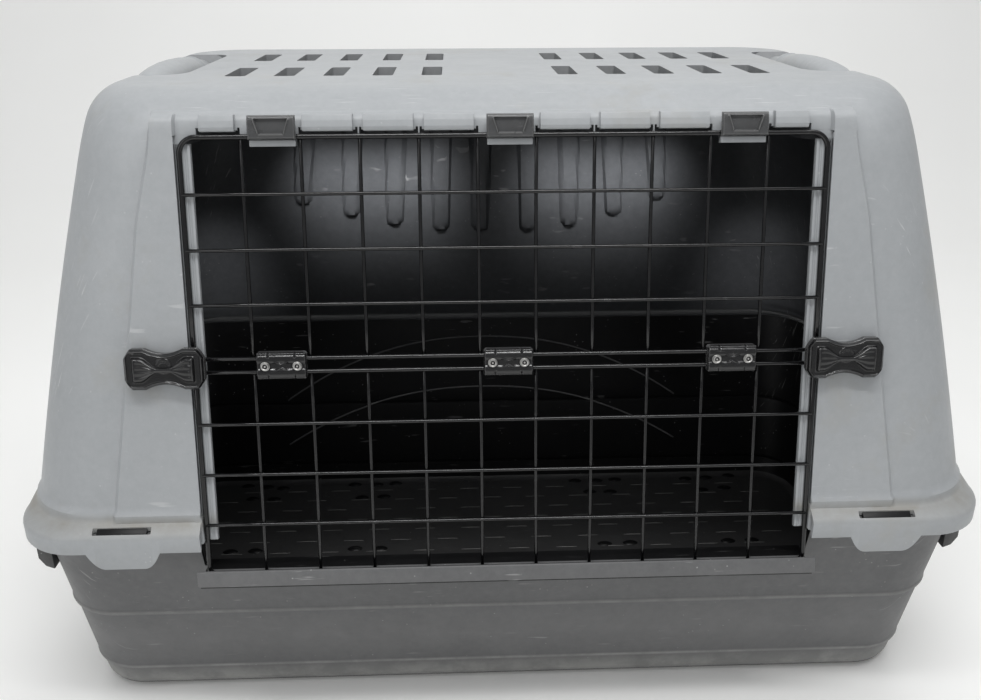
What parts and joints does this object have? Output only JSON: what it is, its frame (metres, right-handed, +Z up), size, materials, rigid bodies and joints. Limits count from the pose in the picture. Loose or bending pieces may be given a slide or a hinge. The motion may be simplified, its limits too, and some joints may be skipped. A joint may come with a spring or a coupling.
{
  "type": "pet transport carrier",
  "caption": "Large rigid pet carrier: dark moulded tray, lift-off grey vented roof with end grips, and a folding black wire door locked by turn latches.",
  "frame": {"origin": "on the ground, at the middle of the tray's underside", "axes": "+X to the right seen from the front, -Y towards the door side, +Z up"},
  "size_m": [0.976, 0.605, 0.667],
  "materials": {
    "tray_plastic": "fine-textured moulded dark grey plastic, scuffed",
    "roof_plastic": "fine-textured moulded light grey plastic, lightly scratched",
    "clip_plastic": "satin dark grey plastic",
    "coated_wire": "glossy black coated steel wire",
    "latch_plastic": "satin black plastic",
    "screw_steel": "plain zinc-plated steel"
  },
  "bodies": {
    "tray": {"base_shell": "tray_plastic"},
    "roof": {"roof_shell": "roof_plastic", "left_grip": "roof_plastic", "right_grip": "roof_plastic", "left_top_clip": "clip_plastic", "centre_top_clip": "clip_plastic", "right_top_clip": "clip_plastic", "left_latch_washer": "screw_steel", "right_latch_washer": "screw_steel"},
    "upper_door": {"upper_door_grille": "coated_wire", "left_fold_clip_front": "latch_plastic", "centre_fold_clip_front": "latch_plastic", "right_fold_clip_front": "latch_plastic", "left_fold_clip_back": "latch_plastic", "centre_fold_clip_back": "latch_plastic", "right_fold_clip_back": "latch_plastic", "left_fold_screw_a": "screw_steel", "left_fold_screw_b": "screw_steel", "centre_fold_screw_a": "screw_steel", "centre_fold_screw_b": "screw_steel", "right_fold_screw_a": "screw_steel", "right_fold_screw_b": "screw_steel"},
    "lower_door": {"lower_door_grille": "coated_wire"},
    "left_turn_latch": {"left_latch": "latch_plastic", "left_latch_screw": "screw_steel"},
    "right_turn_latch": {"right_latch": "latch_plastic", "right_latch_screw": "screw_steel"}
  },
  "joints": [
    {"name": "roof_lift", "type": "slide", "parent": "tray", "child": "roof", "axis": [0, 0, 1], "range_m": [0, 0.12]},
    {"name": "door_fold", "type": "hinge", "parent": "roof", "child": "upper_door", "pos_m": [0, -0.21622, 0.62146], "axis": [-1, 0, 0], "range_deg": [0, 72]},
    {"name": "lower_fold", "type": "hinge", "parent": "upper_door", "child": "lower_door", "pos_m": [0, -0.25759, 0.40935], "axis": [-1, 0, 0], "range_deg": [-136, 0]},
    {"name": "left_latch_turn", "type": "hinge", "parent": "roof", "child": "left_turn_latch", "pos_m": [-0.32, -0.2554, 0.4155], "axis": [0, -0.9824, 0.1869], "range_deg": [0, 90]},
    {"name": "right_latch_turn", "type": "hinge", "parent": "roof", "child": "right_turn_latch", "pos_m": [0.32, -0.2554, 0.4155], "axis": [0, -0.9824, 0.1869], "range_deg": [0, 90]}
  ],
  "couplings": [
    {"joint": "lower_fold", "follows": "door_fold", "ratio": -1.88}
  ]
}
